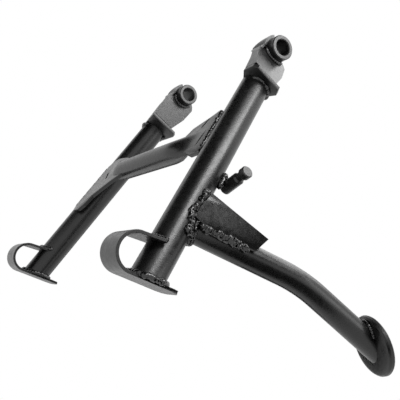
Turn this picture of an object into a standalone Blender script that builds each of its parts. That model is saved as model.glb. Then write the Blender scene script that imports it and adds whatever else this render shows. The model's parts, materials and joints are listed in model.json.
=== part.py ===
"""Motorcycle centre stand, built as one welded frame of separate named pieces.

Lengths in the code are millimetres and are scaled to metres as each piece is made.
Stand axes: +X to the motorcycle's left, +Y to its rear, +Z up, origin on the pivot axis.
The legs lean, so most pieces are laid out in a leaned layout space first.
"""
import math
import bmesh
import bpy
from mathutils import Matrix, Vector

MM = 0.001

# Layout space
LEAN = math.radians(15.5)
PIVOT_Y = -2.3
PIVOT_Z = 272.6
GAP = 0.3

# Leg tubes
LEG_OD = 28.0
LEG_WALL = 2.5
LEG_X0 = 145.8
LEG_SPLAY = 0.18
LEG_SEGMENTS = 40

# Pivot brackets
BASE_Z = 221.5
BASE_T = 4.5
INNER_X = {1: 84.0, -1: 77.0}
OUTER_X_LOW = {1: 127.5, -1: 122.0}
OUTER_X_TOP = {1: 105.5, -1: 97.0}
CHEEK_TOP_Z = 262.0
CHEEK_T = 4.0
HOOK_T = 3.0
HOOK_Y = -20.0
HOOK_TOP_ANGLE = 137.0
BASE_LEFT = [(127.5, -16), (124, -20), (109.5, -20), (103, -14.5), (94, -7.5), (84, 2), (77, 7), (77, 13), (81, 16),
             (111, 15.5), (120, 17.5), (127.5, 13)]
BASE_RIGHT = [(77, -20.5), (92, -18), (104, -15), (114, -8), (122, 0), (122, 12), (114, 17.5), (82, 18.5), (77, 15)]
HOOK_LEFT = [(109, 226), (126.2, 226), (105.2, 261), (105.2, 290), (102, 290), (94.5, 276.5), (85, 268.5), (88, 262),
             (98, 254), (103.5, 243)]
HOOK_RIGHT = [(77.3, 227), (82, 227), (82, 254), (92, 262), (94, 268.5), (86, 276.5), (77.3, 290)]

# Bushes
BUSH_OD = 25.0
BUSH_BORE = 16.0
BUSH_LENGTH = 33.5
BUSH_X = {1: 98.0, -1: 83.4}
BUSH_CHAMFER = 0.8

# Foot straps, laid out on the ground
GROUND = -270.3
FOOT_SHIFT_Y = -70.6
FOOT_X = 144.0
FOOT_WIDTH = 30.0
FOOT_T = 4.0
FOOT_TOE_Y = 25.0
FOOT_ROCKER_Y = -21.0
FOOT_ROCKER_R = 16.5
FOOT_ARM_Y = -1.0
FOOT_ARM_RISE = 1.6
TOE_ROUND = 8.0

# Cross tube
CROSS_OD = 22.0
CROSS_Y = -11.5
CROSS_Z = 134.7
CROSS_END_Z = 142.0
CROSS_REACH = 99.0
CROSS_STEPS = 28
FLARE_START = 58.0
FLARE_END = 92.0
FLARE_TALL = 1.5
FLARE_THIN = 0.24
WING_T = 4.0
WING_LEFT_Y = -11.0
WING_RIGHT_Y = -13.6
WING_LEFT = [(66, 140), (58, 152), (66, 164), (80, 169.5), (88, 172.5), (100, 179), (106, 176), (114, 122), (100, 121),
             (84, 128)]
WING_RIGHT = [(44, 146), (70, 153), (96, 157), (108, 155), (117, 148), (129, 87), (126, 79), (110, 79), (101, 85),
              (95, 98), (82, 106), (67, 115), (51, 122), (42, 130)]
SLOT_WIDTH = 3.0
SLOT_LENGTH = 12.0

# Lever
LEVER_OD = 22.0
LEVER_WALL = 2.2
LEVER_ROOT = Vector((136.0, 10.0, 54.0))
LEVER_KNEE = Vector((158.5, 114.7, 76.4))
LEVER_END = Vector((170.9, 218.0, 73.0))
LEVER_BEND_R = 60.0

# Foot pad
PAD_CENTRE = Vector((169.5, 205.0, 71.43))
PAD_TILT = math.radians(39.0)
PAD_ROLL = math.radians(-18.0)
PAD_R = 27.5
PAD_T = 3.5
PAD_RIM = 5.5

# Gusset
GUSSET_WIDTH = 26.0
GUSSET_T = 3.0
GUSSET_OUTLINE = [(4.0, 5.0), (20.0, -1.0), (65.0, -1.0), (74.0, 15.0), (12.5, 31.0)]

# Spring peg
PEG_R = 5.4
PEG_LENGTH = 32.0
PEG_BASE = Vector((131.0, 20.5, 104.5))
PEG_DIR = Vector((0.93, -0.14, 0.34))
PEG_GROOVE_R = 4.1

# Weld beads
BEAD_R = 2.7
BEAD_LUMP = 0.16


def clear_scene():
    for old in list(bpy.data.objects):
        bpy.data.objects.remove(old, do_unlink=True)


def new_collection(name):
    made = bpy.data.collections.new(name)
    bpy.context.scene.collection.children.link(made)
    return made


clear_scene()
PARTS = new_collection("centre_stand")
CUTTERS = new_collection("cutters")


def layout_matrix():
    """Leaned layout space to stand axes, millimetres in, metres out."""
    turn = Matrix.Rotation(-LEAN, 4, "X")
    shift = Matrix.Translation((0.0, -PIVOT_Y, -PIVOT_Z))
    return Matrix.Scale(MM, 4) @ turn @ shift


LAYOUT = layout_matrix()
FLOOR = Matrix.Scale(MM, 4) @ Matrix.Translation((0.0, FOOT_SHIFT_Y, GROUND))


def material(name, colour, roughness, metallic):
    made = bpy.data.materials.new(name)
    made.use_nodes = True
    shader = made.node_tree.nodes["Principled BSDF"]
    shader.inputs["Base Color"].default_value = (*colour, 1.0)
    shader.inputs["Roughness"].default_value = roughness
    shader.inputs["Metallic"].default_value = metallic
    made.diffuse_color = (*colour, 1.0)
    return made


def finish(obj, colour, roughness, metallic=0.0):
    """Own material, smooth shading with sharp edges kept."""
    obj.data.materials.clear()
    obj.data.materials.append(material(obj.name + "_mat", colour, roughness, metallic))
    obj.data.shade_smooth()
    obj.data.set_sharp_from_angle(angle=math.radians(35.0))


BLACK = (0.012, 0.012, 0.013)
BEAD_BLACK = (0.016, 0.016, 0.017)


def place(obj, matrix, collection):
    """Link an object whose mesh is in millimetres, with its origin on its own centre."""
    mesh = obj.data
    low = Vector(min(v.co[i] for v in mesh.vertices) for i in range(3))
    high = Vector(max(v.co[i] for v in mesh.vertices) for i in range(3))
    centre = (low + high) / 2
    mesh.transform(Matrix.Scale(MM, 4) @ Matrix.Translation(-centre))
    turn = matrix.to_3x3().normalized().to_4x4()
    obj.matrix_world = Matrix.Translation(matrix @ centre) @ turn
    collection.objects.link(obj)
    return obj


def as_mesh(curve_obj, name):
    """A curve made into a closed mesh object."""
    bpy.context.scene.collection.objects.link(curve_obj)
    bpy.context.view_layer.update()
    graph = bpy.context.evaluated_depsgraph_get()
    mesh = bpy.data.meshes.new_from_object(curve_obj.evaluated_get(graph))
    bpy.data.objects.remove(curve_obj, do_unlink=True)
    bm = bmesh.new()
    bm.from_mesh(mesh)
    bmesh.ops.remove_doubles(bm, verts=bm.verts, dist=0.0005)
    bmesh.ops.recalc_face_normals(bm, faces=bm.faces)
    bm.to_mesh(mesh)
    bm.free()
    mesh.name = name
    return bpy.data.objects.new(name, mesh)


def sweep(name, points, radius, matrix, collection, sides=8, radii=None, cyclic=False):
    """A round bar along points given in layout millimetres."""
    data = bpy.data.curves.new(name, "CURVE")
    data.dimensions = "3D"
    data.bevel_depth = radius
    data.bevel_resolution = max(0, sides // 2 - 2)
    data.use_fill_caps = not cyclic
    data.twist_mode = "MINIMUM"
    line = data.splines.new("POLY")
    line.points.add(len(points) - 1)
    for i, p in enumerate(points):
        line.points[i].co = (p[0], p[1], p[2], 1.0)
        line.points[i].radius = radii[i] if radii else 1.0
    line.use_cyclic_u = cyclic
    return place(as_mesh(bpy.data.objects.new(name, data), name), matrix, collection)


def prism(name, outline, depth, frame, collection, bevel=0.0):
    """A flat outline pushed out both ways along its normal."""
    data = bpy.data.curves.new(name, "CURVE")
    data.dimensions = "2D"
    data.fill_mode = "BOTH"
    data.extrude = depth / 2 - bevel
    data.bevel_depth = bevel
    data.bevel_resolution = 1
    data.offset = -bevel
    line = data.splines.new("POLY")
    line.points.add(len(outline) - 1)
    for i, p in enumerate(outline):
        line.points[i].co = (p[0], p[1], 0.0, 1.0)
    line.use_cyclic_u = True
    return place(as_mesh(bpy.data.objects.new(name, data), name), frame, collection)


def block(name, low, high, matrix, collection):
    """A box between two corners."""
    bm = bmesh.new()
    bmesh.ops.create_cube(bm, size=1.0)
    size = Vector(high) - Vector(low)
    mid = (Vector(high) + Vector(low)) / 2
    bmesh.ops.transform(bm, verts=bm.verts, matrix=Matrix.Translation(mid) @ Matrix.Diagonal((*size, 1.0)))
    mesh = bpy.data.meshes.new(name)
    bm.to_mesh(mesh)
    bm.free()
    return place(bpy.data.objects.new(name, mesh), matrix, collection)


def rod(name, start, end, radius, sides, matrix, collection):
    """A plain cylinder between two points."""
    start = Vector(start)
    end = Vector(end)
    bm = bmesh.new()
    bmesh.ops.create_cone(bm, cap_ends=True, segments=sides, radius1=radius, radius2=radius,
                          depth=(end - start).length)
    turn = (end - start).to_track_quat("Z", "Y").to_matrix().to_4x4()
    bmesh.ops.transform(bm, verts=bm.verts, matrix=Matrix.Translation((start + end) / 2) @ turn)
    mesh = bpy.data.meshes.new(name)
    bm.to_mesh(mesh)
    bm.free()
    return place(bpy.data.objects.new(name, mesh), matrix, collection)


def lathe(name, profile, frame, collection, steps=48):
    """A closed profile of (radius, height) turned round the frame's Z axis."""
    bm = bmesh.new()
    ring = [bm.verts.new((r, 0.0, h)) for r, h in profile]
    edges = [bm.edges.new((ring[i], ring[i + 1])) for i in range(len(ring) - 1)]
    if profile[0][0] > 0.001:
        edges.append(bm.edges.new((ring[-1], ring[0])))
    bmesh.ops.spin(bm, geom=bm.verts[:] + edges, cent=(0, 0, 0), axis=(0, 0, 1), angle=2 * math.pi, steps=steps,
                   use_merge=True)
    bmesh.ops.remove_doubles(bm, verts=bm.verts, dist=0.0005)
    bmesh.ops.recalc_face_normals(bm, faces=bm.faces)
    mesh = bpy.data.meshes.new(name)
    bm.to_mesh(mesh)
    bm.free()
    return place(bpy.data.objects.new(name, mesh), frame, collection)


def as_cutter(obj):
    obj.hide_render = True
    obj.display_type = "WIRE"
    return obj


def cut(target, *tools):
    for tool in tools:
        mod = target.modifiers.new("cut_" + tool.name, "BOOLEAN")
        mod.operation = "DIFFERENCE"
        mod.solver = "EXACT"
        mod.object = as_cutter(tool)
    return target


def keep(target, tool):
    mod = target.modifiers.new("keep_" + tool.name, "BOOLEAN")
    mod.operation = "INTERSECT"
    mod.solver = "EXACT"
    mod.object = as_cutter(tool)
    return target


def front_frame(side):
    """A frame whose plane is layout X (outward) and Z."""
    return LAYOUT @ Matrix(((side, 0, 0, 0), (0, 0, -side, 0), (0, 1, 0, 0), (0, 0, 0, 1)))


def frame_of(origin, x_axis, y_axis):
    """A local frame inside the layout space."""
    x_axis = Vector(x_axis).normalized()
    z_axis = x_axis.cross(Vector(y_axis)).normalized()
    y_axis = z_axis.cross(x_axis)
    turn = Matrix((x_axis, y_axis, z_axis)).transposed().to_4x4()
    return LAYOUT @ Matrix.Translation(Vector(origin)) @ turn


def side_frame(x):
    """A frame whose plane is layout Y and Z, at a given X."""
    return LAYOUT @ Matrix.Translation((x, 0, 0)) @ Matrix(((0, 0, 1, 0), (1, 0, 0, 0), (0, 1, 0, 0), (0, 0, 0, 1)))


def floor_side_frame(x):
    return FLOOR @ Matrix.Translation((x, 0, 0)) @ Matrix(((0, 0, 1, 0), (1, 0, 0, 0), (0, 1, 0, 0), (0, 0, 0, 1)))


def arc(cx, cy, r, start, stop, count):
    """Points on an arc, angles in degrees from the first axis."""
    out = []
    for i in range(count + 1):
        a = math.radians(start + (stop - start) * i / count)
        out.append((cx + r * math.cos(a), cy + r * math.sin(a)))
    return out


def leg_x(z):
    return LEG_X0 - LEG_SPLAY * z


def leg_point(z, side=1):
    return Vector((side * leg_x(z), 0.0, z))


def floor_to_layout(p):
    """A point in ground layout to the leaned layout space."""
    return LAYOUT.inverted() @ (FLOOR @ Vector(p))


def bead_radii(count, seed):
    """Uneven radii, for the lumps of a hand-laid weld."""
    out = []
    for i in range(count):
        wave = math.sin(i * 2.4 + seed) * 0.6 + math.sin(i * 1.1 + seed * 2.3) * 0.4
        out.append(1.0 + BEAD_LUMP * wave)
    return out


def bead(name, points, seed, tools, radius=BEAD_R, cyclic=False, matrix=None):
    """A lumpy weld bead, cut clear of the pieces it joins."""
    made = sweep(name, points, radius, matrix or LAYOUT, PARTS, sides=6, cyclic=cyclic,
                 radii=bead_radii(len(points), seed))
    cut(made, *tools)
    finish(made, BEAD_BLACK, 0.42)
    return made


# Shared cutters
above_flange = block("cut_above_flange", (-200, -60, BASE_Z - GAP), (200, 60, 330), LAYOUT, CUTTERS)
below_foot = block("cut_below_foot", (-200, -60, -60), (200, 80, FOOT_T + GAP), FLOOR, CUTTERS)

leg_grown = {}
for side, word in ((1, "left"), (-1, "right")):
    leg_grown[side] = rod("cut_leg_" + word, leg_point(-40, side), leg_point(300, side), LEG_OD / 2 + GAP,
                          LEG_SEGMENTS, LAYOUT, CUTTERS)

# Leg tubes: straight round tube, cut flat at both ends
for side, word in ((1, "left"), (-1, "right")):
    leg = rod("leg_tube_" + word, leg_point(-24, side), leg_point(240, side), LEG_OD / 2, LEG_SEGMENTS, LAYOUT, PARTS)
    bore = rod("cut_leg_bore_" + word, leg_point(-60, side), leg_point(280, side), LEG_OD / 2 - LEG_WALL, 32,
               LAYOUT, CUTTERS)
    cut(leg, bore, above_flange, below_foot)
    finish(leg, BLACK, 0.3)


def hook_outline():
    """Side view of the bracket's front strip: straight up, then hugging the bush."""
    inner = BUSH_OD / 2 + GAP
    outer = inner + HOOK_T
    out = [(HOOK_Y, BASE_Z + BASE_T + GAP), (HOOK_Y, PIVOT_Z - 16.0)]
    out += arc(PIVOT_Y, PIVOT_Z, outer, 200, HOOK_TOP_ANGLE, 9)
    out += arc(PIVOT_Y, PIVOT_Z, inner, HOOK_TOP_ANGLE, 200, 9)
    out += [(HOOK_Y + HOOK_T, PIVOT_Z - 17.0), (HOOK_Y + HOOK_T, BASE_Z + BASE_T + GAP)]
    return out


def plan_outline(points, side):
    """Mirror a plan outline for the right side."""
    return [(side * x, y) for x, y in points]


def join(target, tool):
    mod = target.modifiers.new("join_" + tool.name, "BOOLEAN")
    mod.operation = "UNION"
    mod.solver = "EXACT"
    mod.object = as_cutter(tool)
    return target


CHEEK_LOW_Z = BASE_Z + BASE_T + GAP


def cheek_outline(front, slope, low, horn=True):
    """A bracket side seen along X: (height up the plate, Y)."""
    def up(z):
        return (z - BASE_Z) * slope
    out = [(low, 8.0), (up(246.0), 15.0), (up(PIVOT_Z - 8.0), 16.8), (up(PIVOT_Z - 4.0), 14.5), (up(PIVOT_Z + 2), 8.0)]
    if horn:
        out += [(up(PIVOT_Z + 2), -6.0), (up(PIVOT_Z - 8.5), -12.0), (up(PIVOT_Z - 12.5), -15.8)]
    else:
        out += [(up(PIVOT_Z + 2), 2.0), (up(PIVOT_Z - 8.5), -8.5)]
    return out + [(up(PIVOT_Z - 19.0), front[1]), (low, front[0])]


# Pivot brackets: flat base on the tube, two sides and a hook hugging the bush
for side, word in ((1, "left"), (-1, "right")):
    plan = plan_outline(BASE_LEFT if side > 0 else BASE_RIGHT, side)
    level = LAYOUT @ Matrix.Translation((0, 0, BASE_Z + BASE_T / 2))
    base = prism("pivot_base_" + word, plan, BASE_T, level, PARTS, bevel=0.6)
    finish(base, BLACK, 0.3)

bush_grown = {}
grown_outer = {}
grown_inner = {}
for side, word in ((1, "left"), (-1, "right")):
    bush_grown[side] = rod("cut_bush_" + word, (side * (BUSH_X[side] - 40), PIVOT_Y, PIVOT_Z),
                           (side * (BUSH_X[side] + 40), PIVOT_Y, PIVOT_Z), BUSH_OD / 2 + GAP, 48, LAYOUT, CUTTERS)
    floor_cut = block("cut_bracket_floor_" + word, (-200, -60, 200), (200, 60, CHEEK_LOW_Z), LAYOUT, CUTTERS)

    lean = (OUTER_X_TOP[side] - OUTER_X_LOW[side]) / (CHEEK_TOP_Z - BASE_Z)
    run = Vector((side * lean, 0.0, 1.0)).normalized()
    slope = 1.0 / run.z
    across = run.cross(Vector((0, 1, 0)))
    out_sign = 1 if across.x * side > 0 else -1
    origin = Vector((side * OUTER_X_LOW[side], 0.0, BASE_Z)) - across * out_sign * CHEEK_T / 2
    frame = frame_of(origin, run, (0, 1, 0))
    front = (-19.0, -19.2) if side > 0 else (-12.0, -16.0)
    outer = prism("cheek_outer_" + word, cheek_outline(front, slope, 2.0), CHEEK_T, frame, PARTS)

    frame = frame_of((side * (INNER_X[side] + CHEEK_T / 2), 0, BASE_Z), (0, 0, 1), (0, 1, 0))
    front = (-3.0, -7.0) if side > 0 else (-19.8, -19.2)
    inner = prism("cheek_inner_" + word, cheek_outline(front, 1.0, 2.0, side < 0), CHEEK_T, frame, PARTS)

    strip = prism("cut_hook_" + word, hook_outline(), 120.0, side_frame(side * 100), CUTTERS)
    hook_front = HOOK_LEFT if side > 0 else HOOK_RIGHT
    keep(strip, prism("cut_hook_front_" + word, hook_front, 120.0, front_frame(side), CUTTERS))
    owner = outer if side > 0 else inner
    join(owner, strip)
    cut(outer, bush_grown[side], floor_cut)
    cut(inner, bush_grown[side], floor_cut)
    finish(outer, BLACK, 0.3)
    finish(inner, BLACK, 0.3)
    frame = frame_of(Vector((side * OUTER_X_LOW[side], 0.0, BASE_Z)) - across * out_sign * (10 - GAP), run, (0, 1, 0))
    big = [(-10, -40), (90, -40), (90, 40), (-10, 40)]
    grown_outer[side] = prism("cut_outer_face_" + word, big, 20.0, frame, CUTTERS)
    low, high = sorted((side * (INNER_X[side] - GAP), side * (INNER_X[side] + 20)))
    grown_inner[side] = block("cut_inner_face_" + word, (low, -60, 200), (high, 60, 320), LAYOUT, CUTTERS)

# Bushes: turned tube with chamfered ends, lying across the stand
for side, word in ((1, "left"), (-1, "right")):
    ro = BUSH_OD / 2
    ri = BUSH_BORE / 2
    half = BUSH_LENGTH / 2
    c = BUSH_CHAMFER
    profile = [(ro, -half + c), (ro, half - c), (ro - c, half), (ri + c, half), (ri, half - c), (ri, -half + c),
               (ri + c, -half), (ro - c, -half)]
    frame = frame_of((side * BUSH_X[side], PIVOT_Y, PIVOT_Z), (0, 1, 0), (0, 0, 1))
    bush = lathe("pivot_bush_" + word, profile, frame, PARTS, steps=48)
    finish(bush, BLACK, 0.28)


def foot_outline():
    """The foot strap in side view: flat foot, rocker, arm back to the leg."""
    r = FOOT_ROCKER_R
    t = FOOT_T
    top = 2 * r
    out = [(FOOT_TOE_Y, 0.0)]
    out += arc(FOOT_ROCKER_Y, r, r, 270, 90, 16)
    out.append((FOOT_ARM_Y, top + FOOT_ARM_RISE))
    out.append((FOOT_ARM_Y, top + FOOT_ARM_RISE - t))
    out += arc(FOOT_ROCKER_Y, r, r - t, 90, 270, 14)
    out.append((FOOT_TOE_Y, t))
    return out


# Foot straps: flat bar bent to a foot and a rocker
for side, word in ((1, "left"), (-1, "right")):
    strap = prism("foot_strap_" + word, foot_outline(), FOOT_WIDTH, floor_side_frame(side * FOOT_X), PARTS)
    mesh = strap.data
    weights = mesh.attributes.new("bevel_weight_edge", "FLOAT", "EDGE")
    toe = max(v.co.x for v in mesh.vertices)
    for edge in mesh.edges:
        a, b = (mesh.vertices[i].co for i in edge.vertices)
        if min(a.x, b.x) > toe - 1e-6 and abs(a.z - b.z) < 1e-6:
            weights.data[edge.index].value = 1.0
    rounding = strap.modifiers.new("toe_round", "BEVEL")
    rounding.limit_method = "WEIGHT"
    rounding.width = TOE_ROUND * MM
    rounding.segments = 5
    arm_bore = rod("cut_arm_bore_" + word, leg_point(14, side), leg_point(80, side), LEG_OD / 2 + GAP,
                   LEG_SEGMENTS, LAYOUT, CUTTERS)
    cut(strap, arm_bore)
    finish(strap, BLACK, 0.3)


def cross_axis(x):
    """How far the tube is pressed at X, and its centre there."""
    t = min(1.0, max(0.0, (abs(x) - FLARE_START) / (FLARE_END - FLARE_START)))
    t = t * t * (3 - 2 * t)
    end_y = WING_LEFT_Y if x > 0 else WING_RIGHT_Y
    return t, CROSS_Y + (end_y - CROSS_Y) * t, CROSS_Z + (CROSS_END_Z - CROSS_Z) * t


def cross_path():
    out = []
    for i in range(CROSS_STEPS + 1):
        x = CROSS_REACH * (2 * i / CROSS_STEPS - 1)
        out.append(Vector((x, *cross_axis(x)[1:])))
    return out


def flare(obj, path):
    """Squeeze the tube's ends flat and tall, as a press would."""
    inverse = LAYOUT.inverted() @ obj.matrix_world
    back = inverse.inverted()
    for v in obj.data.vertices:
        p = inverse @ v.co
        t, cy, cz = cross_axis(p.x)
        p.y = cy + (p.y - cy) * (1 + (FLARE_THIN - 1) * t)
        p.z = cz + (p.z - cz) * (1 + (FLARE_TALL - 1) * t)
        v.co = back @ p


# Cross tube: round in the middle, pressed flat into a slotted wing at both ends
path = cross_path()
cross = sweep("cross_tube", path, CROSS_OD / 2, LAYOUT, PARTS, sides=20)
flare(cross, path)
for side, word, outline, y, slot_x, slot_z, slot_turn in (
        (1, "left", WING_LEFT, WING_LEFT_Y, 86.5, 165.5, 19.0), (-1, "right", WING_RIGHT, WING_RIGHT_Y, 93.0, 128.0, 36.0)):
    frame = front_frame(side) @ Matrix.Translation((0, 0, -side * y))
    join(cross, prism("cut_cross_wing_" + word, outline, WING_T, frame, CUTTERS, bevel=0.5))
    at = Matrix.Translation((side * slot_x, y, slot_z)) @ Matrix.Rotation(side * math.radians(slot_turn), 4, "Y")
    cut(cross, block("cut_cross_slot_" + word, (-SLOT_WIDTH / 2, -12, -SLOT_LENGTH / 2),
                     (SLOT_WIDTH / 2, 12, SLOT_LENGTH / 2), LAYOUT @ at, CUTTERS))
cut(cross, leg_grown[1], leg_grown[-1])
finish(cross, BLACK, 0.3)


def lever_path(extra=0.0, samples=9):
    """Two straight runs joined by a round bend, as layout points."""
    a = (LEVER_KNEE - LEVER_ROOT).normalized()
    b = (LEVER_END - LEVER_KNEE).normalized()
    turn = a.angle(b)
    reach = LEVER_BEND_R * math.tan(turn / 2)
    start = LEVER_KNEE - a * reach
    inward = (b - a * a.dot(b)).normalized()
    centre = start + inward * LEVER_BEND_R
    out = [LEVER_ROOT - a * (10.0 + extra)]
    for i in range(samples + 1):
        t = turn * i / samples
        out.append(centre - inward * LEVER_BEND_R * math.cos(t) + a * LEVER_BEND_R * math.sin(t))
    out.append(LEVER_END + b * extra)
    return out


PAD_FRAME = frame_of(PAD_CENTRE, (math.cos(PAD_ROLL), 0, math.sin(PAD_ROLL)),
                     (0, math.cos(PAD_TILT), -math.sin(PAD_TILT)))
behind_pad = block("cut_behind_pad", (-60, -60, -GAP), (60, 60, 60), PAD_FRAME, CUTTERS)

# Lever tube: bent round tube, coped to the leg at its root
lever = sweep("lever_tube", lever_path(), LEVER_OD / 2, LAYOUT, PARTS, sides=28)
lever_bore = sweep("cut_lever_bore", lever_path(extra=20.0), LEVER_OD / 2 - LEVER_WALL, LAYOUT, CUTTERS, sides=20)
cut(lever, lever_bore, leg_grown[1], behind_pad)
finish(lever, BLACK, 0.3)
lever_grown = sweep("cut_lever_grown", lever_path(extra=2.0), LEVER_OD / 2 + GAP, LAYOUT, CUTTERS, sides=28)

# Foot pad: pressed dish with a turned-up rim
pad_profile = [(0.0, 0.0), (PAD_R - 5.0, 0.0), (PAD_R - 2.0, 0.7), (PAD_R - 0.5, 2.2), (PAD_R, PAD_RIM - 1.0),
               (PAD_R - 0.6, PAD_RIM), (PAD_R - 2.2, PAD_RIM), (PAD_R - 3.0, PAD_RIM - 0.8), (PAD_R - 5.0, PAD_T + 0.6),
               (PAD_R - 7.5, PAD_T), (0.0, PAD_T)]
pad = lathe("foot_pad", pad_profile, PAD_FRAME, PARTS, steps=44)
finish(pad, BLACK, 0.3)

# Gusset: folded channel over the corner of leg and lever
lever_dir = (LEVER_KNEE - LEVER_ROOT).normalized()
leg_up = Vector((-LEG_SPLAY, 0.0, 1.0)).normalized()
GUSSET_ORIGIN = Vector((leg_x(52.0), 0.0, 52.0))
GUSSET_FRAME = frame_of(GUSSET_ORIGIN, lever_dir, leg_up)
gusset = prism("gusset_channel", GUSSET_OUTLINE, GUSSET_WIDTH, GUSSET_FRAME, PARTS, bevel=0.5)
top_a = Vector(GUSSET_OUTLINE[3])
top_b = Vector(GUSSET_OUTLINE[4])
down = Vector((top_b[1] - top_a[1], top_a[0] - top_b[0])).normalized()
down = down if down[1] < 0 else -down
along = (top_b - top_a).normalized()
pocket = [tuple(top_a - along * 20 + down * GUSSET_T), tuple(top_b + along * 20 + down * GUSSET_T),
          tuple(top_b + along * 20 + down * 70), tuple(top_a - along * 20 + down * 70)]
pocket_cut = prism("cut_gusset_pocket", pocket, GUSSET_WIDTH - 2 * GUSSET_T, GUSSET_FRAME, CUTTERS)
cut(gusset, pocket_cut, leg_grown[1], lever_grown)
finish(gusset, BLACK, 0.3)
gusset_slab = prism("cut_gusset_slab", [(-20, -1.3), (90, -1.3), (90, 50), (-20, 50)], GUSSET_WIDTH + 2 * GAP,
                    GUSSET_FRAME, CUTTERS)

# Spring peg: turned pin with a groove for the spring hook
peg_dir = PEG_DIR.normalized()
peg_profile = [(0.0, 0.0), (PEG_R - 0.8, 0.0), (PEG_R, 0.8), (PEG_R, PEG_LENGTH - 12.5), (PEG_GROOVE_R, PEG_LENGTH - 11.0),
               (PEG_GROOVE_R, PEG_LENGTH - 7.0), (PEG_R, PEG_LENGTH - 5.5), (PEG_R, PEG_LENGTH - 0.8),
               (PEG_R - 0.8, PEG_LENGTH), (0.0, PEG_LENGTH)]
peg_frame = frame_of(PEG_BASE, peg_dir.orthogonal(), peg_dir.cross(peg_dir.orthogonal()))
peg = lathe("spring_peg", peg_profile, peg_frame, PARTS, steps=28)
cut(peg, leg_grown[1])
finish(peg, BLACK, 0.28)
peg_grown = rod("cut_peg_grown", PEG_BASE - peg_dir * 2, PEG_BASE + peg_dir * (PEG_LENGTH + 2), PEG_R + GAP, 28,
                LAYOUT, CUTTERS)

# Weld beads round the leg tops and on the feet
for side, word in ((1, "left"), (-1, "right")):
    ring = []
    for i in range(30):
        a = 2 * math.pi * i / 30
        ring.append((side * leg_x(BASE_Z) + 14.9 * math.cos(a), 14.9 * math.sin(a), BASE_Z - 2.2))
    bead("weld_leg_top_" + word, ring, 1.0 * side, [leg_grown[side], above_flange], radius=2.3, cyclic=True)
    ring = []
    centre = LAYOUT @ leg_point(-3.0, side)
    centre = FLOOR.inverted() @ centre
    for i in range(30):
        a = 2 * math.pi * i / 30
        ring.append((centre.x + 15.0 * math.cos(a), centre.y + 15.3 * math.sin(a), FOOT_T + 1.0))
    bead("weld_foot_" + word, ring, 2.0 * side, [leg_grown[side], below_foot], radius=3.2, cyclic=True, matrix=FLOOR)
    top = 2 * FOOT_ROCKER_R + FOOT_ARM_RISE
    arm_mid = floor_to_layout((side * FOOT_X, FOOT_ARM_Y, top))
    ring = []
    leg_at = FLOOR.inverted() @ (LAYOUT @ leg_point(arm_mid.z, side))
    for i in range(17):
        a = math.radians(200 + 140 * i / 16)
        ring.append((leg_at.x + 14.9 * math.cos(a), leg_at.y + 15.2 * math.sin(a) - 0.3, top + 0.9))
    arm_box = block("cut_arm_" + word, (min(side * 120, side * 165), -60, top - FOOT_T - 3),
                    (max(side * 120, side * 165), 30, top + GAP), FLOOR, CUTTERS)
    bead("weld_arm_" + word, ring, 3.0 * side, [leg_grown[side], arm_box], radius=2.6, matrix=FLOOR)

# Weld beads where bushes sit in the cheeks
for side, word in ((1, "left"), (-1, "right")):
    for place_word, sign in (("outer", 1), ("inner", -1)):
        points = []
        hooked = sign > 0 if side > 0 else sign < 0
        start = -146 if hooked else (-158 if side < 0 else -125)
        for y, z in arc(PIVOT_Y, PIVOT_Z, BUSH_OD / 2 + 1.1, start, -22, 15):
            drop = (z - BASE_Z) / (CHEEK_TOP_Z - BASE_Z)
            outer_x = OUTER_X_LOW[side] + (OUTER_X_TOP[side] - OUTER_X_LOW[side]) * drop
            x = outer_x + 1.2 if sign > 0 else INNER_X[side] - 0.6
            points.append((side * x, y, z))
        owner_cut = grown_outer[side] if sign > 0 else grown_inner[side]
        bead("weld_bush_" + place_word + "_" + word, points, 1.3 * side + sign, [bush_grown[side], owner_cut],
             radius=2.2)

# Weld beads where the cross tube meets the legs
def wing_grown(name, outline, side, y):
    frame = front_frame(side) @ Matrix.Translation((0, 0, -side * y))
    wider = [(x + (GAP if x > 95 else 0), z) for x, z in outline]
    return prism(name, wider, CROSS_OD * FLARE_THIN + 2 * GAP, frame, CUTTERS)


points = []
for i in range(19):
    z = 124.5 + 49.5 * i / 18
    points.append((leg_x(z) - 7.0 - 1.4 * (176.0 - z) / 54.0, -13.2 + 0.6 * (176.0 - z) / 54.0, z))
bead("weld_cross_left", points, 4.0, [leg_grown[1], wing_grown("cut_wing_left_grown", WING_LEFT, 1, WING_LEFT_Y)],
     radius=2.9)
points = []
for i in range(22):
    z = 86.0 + 60.0 * i / 21
    edge_x = 129.0 - 12.0 * (z - 87.0) / 61.0
    points.append((-edge_x - 1.2, -14.4, z))
bead("weld_cross_right", points, -4.0,
     [leg_grown[-1], wing_grown("cut_wing_right_grown", WING_RIGHT, -1, WING_RIGHT_Y)], radius=2.4)


def saddle(angle, radius, reach):
    """A point round the lever where it meets the leg's surface."""
    across = lever_dir.orthogonal().normalized()
    up = lever_dir.cross(across)
    offset = across * math.cos(angle) * radius + up * math.sin(angle) * radius
    axis_point = leg_point(0.0)
    step = 0.0
    while step < 60.0:
        p = LEVER_ROOT - lever_dir * 10.0 + lever_dir * step + offset
        rel = p - axis_point
        if (rel - leg_up * rel.dot(leg_up)).length > reach and step > 4.0:
            return p
        step += 0.25
    return p


ring = [saddle(2 * math.pi * i / 26, LEVER_OD / 2 + 1.0, LEG_OD / 2 + 1.0) for i in range(26)]
bead("weld_lever_root", ring, 5.0, [leg_grown[1], lever_grown, gusset_slab], radius=3.0, cyclic=True)


def gusset_point(a, b, out):
    return LAYOUT.inverted() @ (GUSSET_FRAME @ Vector((a, b, out)))


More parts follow.
